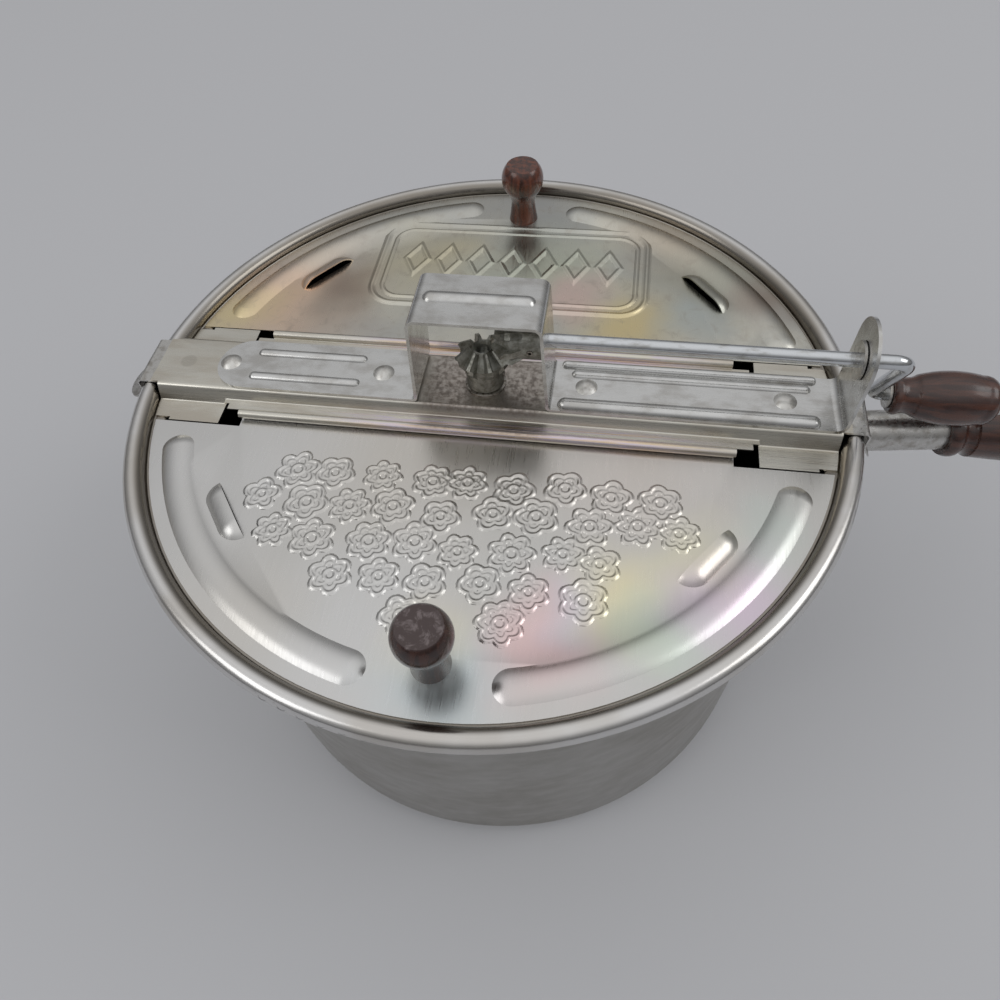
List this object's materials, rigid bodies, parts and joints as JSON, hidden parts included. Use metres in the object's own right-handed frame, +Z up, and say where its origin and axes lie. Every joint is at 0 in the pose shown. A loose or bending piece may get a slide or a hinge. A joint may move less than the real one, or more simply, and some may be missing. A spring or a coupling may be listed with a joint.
{
  "type": "stovetop popcorn popper",
  "caption": "Stovetop popcorn popper: a spun pot with a side handle and a lid of hinged leaves, whose hand crank turns a wire stirrer through bevel gears.",
  "frame": {"origin": "centre of the pot's flat base, on the surface it stands on", "axes": "+X along the lid's crossbar towards the crank and the handle, +Y towards the rear lid leaf, +Z up"},
  "size_m": [0.3975, 0.2412, 0.1887],
  "materials": {
    "pot_aluminium": "spun satin",
    "crossbar_tinplate": "satin, heat tinted",
    "lid_tinplate": "satin, heat tinted",
    "bracket_steel": "bright, scratched",
    "rivet_aluminium": "dull",
    "bushing_steel": "dull",
    "clip_steel": "bright spring steel",
    "rod_chrome": "polished",
    "gear_zinc": "dull zinc",
    "pin_steel": "dull",
    "fastener_steel": "plain",
    "stirrer_steel": "drawn wire",
    "handle_bracket_steel": "plain",
    "ferrule_steel": "plain",
    "dark_wood": "glossy dark stain"
  },
  "bodies": {
    "pot_body": {"pot": "pot_aluminium", "pot_bottom": "pot_aluminium", "handle_bracket": "handle_bracket_steel", "handle_rivets": "rivet_aluminium", "handle_ferrule": "ferrule_steel", "handle_grip": "dark_wood", "handle_bolt": "fastener_steel", "handle_washer": "fastener_steel"},
    "lid_frame": {"crossbar": "crossbar_tinplate", "gear_bracket": "bracket_steel", "bracket_rivets": "rivet_aluminium", "stirrer_bushing": "bushing_steel", "left_rim_clip": "clip_steel", "right_rim_clip": "clip_steel"},
    "front_leaf": {"front_lid": "lid_tinplate", "front_lid_knob": "dark_wood", "front_knob_washer": "fastener_steel", "front_knob_screw": "fastener_steel"},
    "rear_leaf": {"rear_lid": "lid_tinplate", "rear_lid_knob": "dark_wood", "rear_knob_washer": "fastener_steel", "rear_knob_screw": "fastener_steel"},
    "crank": {"crank_rod": "rod_chrome", "crank_gear": "gear_zinc", "crank_gear_pin": "pin_steel", "crank_rod_washer": "fastener_steel", "crank_knob_washers": "fastener_steel", "crank_knob_cap": "fastener_steel"},
    "crank_grip": {"crank_knob": "dark_wood"},
    "stirrer": {"stirrer_shaft": "rod_chrome", "stirrer_gear": "gear_zinc", "stirrer_gear_pin": "pin_steel", "stirrer_thrust_washer": "fastener_steel", "stirrer_clip": "clip_steel", "stirrer_wire": "stirrer_steel"}
  },
  "joints": [
    {"name": "lid_lift", "type": "slide", "parent": "pot_body", "child": "lid_frame", "axis": [0, 0, 1], "range_m": [0, 0.17]},
    {"name": "front_lid_turn", "type": "hinge", "parent": "lid_frame", "child": "front_leaf", "pos_m": [0, -0.019, 0.1494], "axis": [-1, 0, 0], "range_deg": [0, 80]},
    {"name": "rear_lid_turn", "type": "hinge", "parent": "lid_frame", "child": "rear_leaf", "pos_m": [0, 0.019, 0.1494], "axis": [1, 0, 0], "range_deg": [0, 80]},
    {"name": "crank_turn", "type": "hinge", "parent": "lid_frame", "child": "crank", "pos_m": [0.05, 0, 0.1733], "axis": [1, 0, 0], "continuous": true},
    {"name": "crank_knob_turn", "type": "hinge", "parent": "crank", "child": "crank_grip", "pos_m": [0.149, 0.01622, 0.14342], "axis": [1, 0, 0], "continuous": true},
    {"name": "stirrer_turn", "type": "hinge", "parent": "lid_frame", "child": "stirrer", "pos_m": [0, 0, 0.08], "axis": [0, 0, 1], "continuous": true}
  ],
  "couplings": [
    {"joint": "stirrer_turn", "follows": "crank_turn", "ratio": 1}
  ]
}
